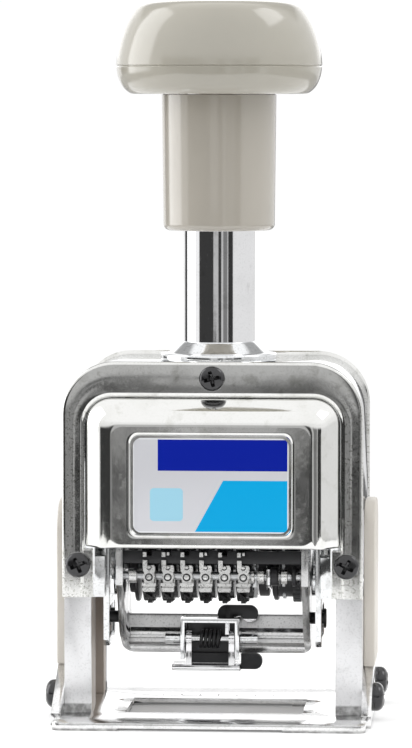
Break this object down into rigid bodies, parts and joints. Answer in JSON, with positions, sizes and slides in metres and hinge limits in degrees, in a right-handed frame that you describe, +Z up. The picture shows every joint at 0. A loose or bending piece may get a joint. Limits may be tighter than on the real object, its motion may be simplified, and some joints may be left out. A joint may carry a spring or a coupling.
{
  "type": "automatic numbering machine",
  "caption": "Hand-held automatic numbering machine: knob, sprung housing on a footed base, and type wheels that turn from ink pad to paper.",
  "frame": {"origin": "middle of the footprint, on the surface the base plate stands on", "axes": "+Z up along the handle, +X to the right as seen from the label side, -Y towards the label side (front)"},
  "size_m": [0.0792, 0.0613, 0.1671],
  "materials": {
    "bright_chrome": "polished",
    "satin_chrome": "satin",
    "steel": "brushed",
    "beige_plastic": "matte",
    "knob_plastic": "gloss",
    "black_screw": "blackened",
    "black_steel": "blackened",
    "type_steel": "inked steel",
    "label_face": "satin print",
    "ink_felt": "inked felt"
  },
  "bodies": {
    "base": {"base_plate": "bright_chrome", "left_leg": "satin_chrome", "right_leg": "satin_chrome", "left_slide_guide": "beige_plastic", "right_slide_guide": "beige_plastic", "left_side_guard": "beige_plastic", "right_side_guard": "beige_plastic", "leg_screws": "black_screw", "bridge": "steel", "bridge_rivets": "steel", "guide_rod": "steel", "return_spring": "steel", "left_cam_arm": "bright_chrome", "right_cam_arm": "bright_chrome", "pad_rails": "steel"},
    "tray": {"ink_tray": "black_steel", "ink_pad": "ink_felt"},
    "carriage": {"housing_body": "bright_chrome", "front_bezel": "bright_chrome", "front_panel": "bright_chrome", "label_plate": "label_face", "rear_bezel": "bright_chrome", "cover_screws": "black_screw", "collar": "bright_chrome", "handle_tube": "bright_chrome", "spring_plug": "steel", "grip_sleeve": "beige_plastic", "knob_body": "knob_plastic", "knob_cap": "knob_plastic", "left_trunnion_bracket": "bright_chrome", "right_trunnion_bracket": "bright_chrome"},
    "head": {"stirrup": "bright_chrome", "wheel_axle": "steel", "trunnion_studs": "steel", "crank_pins": "black_steel", "pawl_comb": "black_steel", "pawl_shaft": "steel", "tie_rod": "steel", "crossbar": "satin_chrome", "lever_bracket": "bright_chrome", "lever_pin": "bright_chrome", "lever_spring": "black_steel", "end_disc": "black_steel", "inner_plate": "satin_chrome"},
    "wheel_1": {"number_wheel_1": "type_steel"},
    "wheel_2": {"number_wheel_2": "type_steel"},
    "wheel_3": {"number_wheel_3": "type_steel"},
    "wheel_4": {"number_wheel_4": "type_steel"},
    "wheel_5": {"number_wheel_5": "type_steel"},
    "wheel_6": {"number_wheel_6": "type_steel", "ratchet_wheel": "steel"},
    "pawl_1": {"detent_pawl_1": "satin_chrome"},
    "pawl_2": {"detent_pawl_2": "satin_chrome"},
    "pawl_3": {"detent_pawl_3": "satin_chrome"},
    "pawl_4": {"detent_pawl_4": "satin_chrome"},
    "pawl_5": {"detent_pawl_5": "satin_chrome"},
    "pawl_6": {"detent_pawl_6": "satin_chrome"},
    "feeder": {"feed_arm": "bright_chrome"},
    "selector": {"selector_dial": "black_steel"},
    "lever": {"release_lever": "bright_chrome"}
  },
  "joints": [
    {"name": "press", "type": "slide", "parent": "base", "child": "carriage", "axis": [0, 0, -1], "range_m": [0, 0.0187], "stiffness_N_per_m": 600, "springref_m": -0.03, "deforming": ["return_spring"]},
    {"name": "head_swing", "type": "hinge", "parent": "carriage", "child": "head", "pos_m": [-0.0007, 0.0057, 0.0313], "axis": [-1, 0, 0], "range_deg": [0, 180]},
    {"name": "tray_slide", "type": "slide", "parent": "base", "child": "tray", "axis": [0, 1, 0], "range_m": [0, 0.03]},
    {"name": "feed_swing", "type": "hinge", "parent": "head", "child": "feeder", "pos_m": [0.0103, 0.0057, 0.0345], "axis": [-1, 0, 0], "range_deg": [0, 36]},
    {"name": "selector_turn", "type": "hinge", "parent": "head", "child": "selector", "pos_m": [0.0165, 0.0057, 0.0345], "axis": [1, 0, 0], "continuous": true},
    {"name": "lever_press", "type": "hinge", "parent": "head", "child": "lever", "pos_m": [-0.002, 0.0062, 0.0168], "axis": [1, 0, 0], "range_deg": [0, 8], "stiffness_Nm_per_rad": 0.02, "springref_deg": -17.19},
    {"name": "wheel_turn_1", "type": "hinge", "parent": "head", "child": "wheel_1", "pos_m": [-0.0157, 0.0057, 0.0345], "axis": [1, 0, 0], "continuous": true},
    {"name": "wheel_turn_2", "type": "hinge", "parent": "head", "child": "wheel_2", "pos_m": [-0.01129, 0.0057, 0.0345], "axis": [1, 0, 0], "continuous": true},
    {"name": "wheel_turn_3", "type": "hinge", "parent": "head", "child": "wheel_3", "pos_m": [-0.00688, 0.0057, 0.0345], "axis": [1, 0, 0], "continuous": true},
    {"name": "wheel_turn_4", "type": "hinge", "parent": "head", "child": "wheel_4", "pos_m": [-0.00247, 0.0057, 0.0345], "axis": [1, 0, 0], "continuous": true},
    {"name": "wheel_turn_5", "type": "hinge", "parent": "head", "child": "wheel_5", "pos_m": [0.00194, 0.0057, 0.0345], "axis": [1, 0, 0], "continuous": true},
    {"name": "wheel_turn_6", "type": "hinge", "parent": "head", "child": "wheel_6", "pos_m": [0.00635, 0.0057, 0.0345], "axis": [1, 0, 0], "continuous": true},
    {"name": "pawl_lift_1", "type": "hinge", "parent": "head", "child": "pawl_1", "pos_m": [-0.0157, -0.0057, 0.033], "axis": [-1, 0, 0], "range_deg": [0, 8], "stiffness_Nm_per_rad": 0.004, "springref_deg": -11.46},
    {"name": "pawl_lift_2", "type": "hinge", "parent": "head", "child": "pawl_2", "pos_m": [-0.01129, -0.0057, 0.033], "axis": [-1, 0, 0], "range_deg": [0, 8], "stiffness_Nm_per_rad": 0.004, "springref_deg": -11.46},
    {"name": "pawl_lift_3", "type": "hinge", "parent": "head", "child": "pawl_3", "pos_m": [-0.00688, -0.0057, 0.033], "axis": [-1, 0, 0], "range_deg": [0, 8], "stiffness_Nm_per_rad": 0.004, "springref_deg": -11.46},
    {"name": "pawl_lift_4", "type": "hinge", "parent": "head", "child": "pawl_4", "pos_m": [-0.00247, -0.0057, 0.033], "axis": [-1, 0, 0], "range_deg": [0, 8], "stiffness_Nm_per_rad": 0.004, "springref_deg": -11.46},
    {"name": "pawl_lift_5", "type": "hinge", "parent": "head", "child": "pawl_5", "pos_m": [0.00194, -0.0057, 0.033], "axis": [-1, 0, 0], "range_deg": [0, 8], "stiffness_Nm_per_rad": 0.004, "springref_deg": -11.46},
    {"name": "pawl_lift_6", "type": "hinge", "parent": "head", "child": "pawl_6", "pos_m": [0.00635, -0.0057, 0.033], "axis": [-1, 0, 0], "range_deg": [0, 8], "stiffness_Nm_per_rad": 0.004, "springref_deg": -11.46}
  ],
  "couplings": [
    {"joint": "head_swing", "follows": "press", "rad_per_m": 167.99},
    {"joint": "feed_swing", "follows": "press", "rad_per_m": 33.59}
  ]
}
